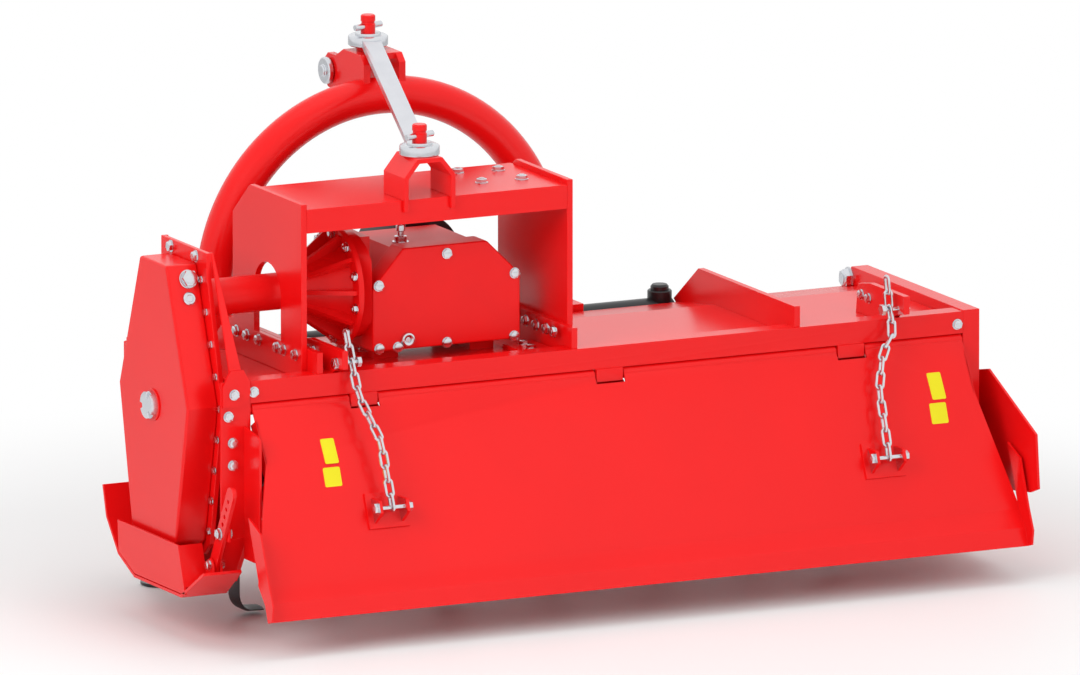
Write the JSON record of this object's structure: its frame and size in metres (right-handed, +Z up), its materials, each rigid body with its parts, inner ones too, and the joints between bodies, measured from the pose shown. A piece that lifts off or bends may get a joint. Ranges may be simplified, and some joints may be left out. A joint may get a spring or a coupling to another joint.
{
  "type": "tractor-mounted rotary tiller",
  "caption": "Three-point mounted rotary tiller with a tubular hitch arch, side gear case, bladed rotor under a hood, chained rear board, slide bar and parking legs.",
  "frame": {"origin": "on the floor under the middle of the object's box", "axes": "+X the machine's right, +Y the direction of travel, +Z up"},
  "size_m": [1.698, 0.888, 1.0515],
  "materials": {
    "red_paint": "gloss",
    "zinc": "bright zinc",
    "black_paint": "satin",
    "blade_steel": "dull",
    "black_plastic": "matt"
  },
  "bodies": {
    "frame": {"deck": "red_paint", "rear_beam": "red_paint", "hinge_rod": "zinc", "end_plate_left": "red_paint", "end_plate_right": "red_paint", "side_wing_left": "red_paint", "side_wing_right": "red_paint", "deck_ribs": "red_paint", "cradle_side_left": "red_paint", "cradle_side_right": "red_paint", "cradle_top": "red_paint", "strut_bracket": "red_paint", "slide_bar": "black_paint", "hitch_arch": "red_paint", "top_yoke": "red_paint", "top_pin": "zinc", "strut": "zinc", "strut_pins": "red_paint", "lower_hitch_left": "red_paint", "lower_hitch_right": "red_paint", "gearbox_cover": "red_paint", "gearbox": "red_paint", "axle_tube": "red_paint", "pto_guard": "black_plastic", "gear_case": "red_paint", "case_mount": "red_paint", "idler_cap": "zinc", "skid_left": "red_paint", "skid_right": "red_paint", "case_guard": "red_paint", "bearing_right": "red_paint", "chain_bracket_left": "red_paint", "chain_bracket_right": "red_paint"},
    "rotor": {"rotor_shaft": "red_paint", "blades": "blade_steel"},
    "pto_shaft": {"pto_shaft": "blade_steel"},
    "tailboard": {"tailboard": "red_paint", "board_clevises": "red_paint"},
    "chain_left": {"chain_left": "zinc"},
    "chain_right": {"chain_right": "zinc"},
    "stand_left": {"stand_left": "black_paint"},
    "stand_right": {"stand_right": "black_paint"}
  },
  "joints": [
    {"name": "rotor_spin", "type": "hinge", "parent": "frame", "child": "rotor", "pos_m": [0, -0.046, 0.23], "axis": [-1, 0, 0], "continuous": true},
    {"name": "pto_spin", "type": "hinge", "parent": "frame", "child": "pto_shaft", "pos_m": [-0.195, 0.188, 0.619], "axis": [0, 1, 0], "continuous": true},
    {"name": "tailboard_lift", "type": "hinge", "parent": "frame", "child": "tailboard", "pos_m": [0, -0.233, 0.44], "axis": [-1, 0, 0], "range_deg": [0, 40]},
    {"name": "chain_left_swing", "type": "hinge", "parent": "frame", "child": "chain_left", "pos_m": [-0.518, -0.252, 0.515], "axis": [-1, 0, 0], "range_deg": [0, 33.5]},
    {"name": "chain_right_swing", "type": "hinge", "parent": "frame", "child": "chain_right", "pos_m": [0.615, -0.252, 0.515], "axis": [-1, 0, 0], "range_deg": [0, 33.5]},
    {"name": "stand_left_lift", "type": "slide", "parent": "frame", "child": "stand_left", "axis": [0, 0, 1], "range_m": [0, 0.3]},
    {"name": "stand_right_lift", "type": "slide", "parent": "frame", "child": "stand_right", "axis": [0, 0, 1], "range_m": [0, 0.3]}
  ],
  "couplings": [
    {"joint": "pto_spin", "follows": "rotor_spin", "ratio": 2.5},
    {"joint": "chain_left_swing", "follows": "tailboard_lift", "ratio": 0.832},
    {"joint": "chain_right_swing", "follows": "tailboard_lift", "ratio": 0.832}
  ]
}
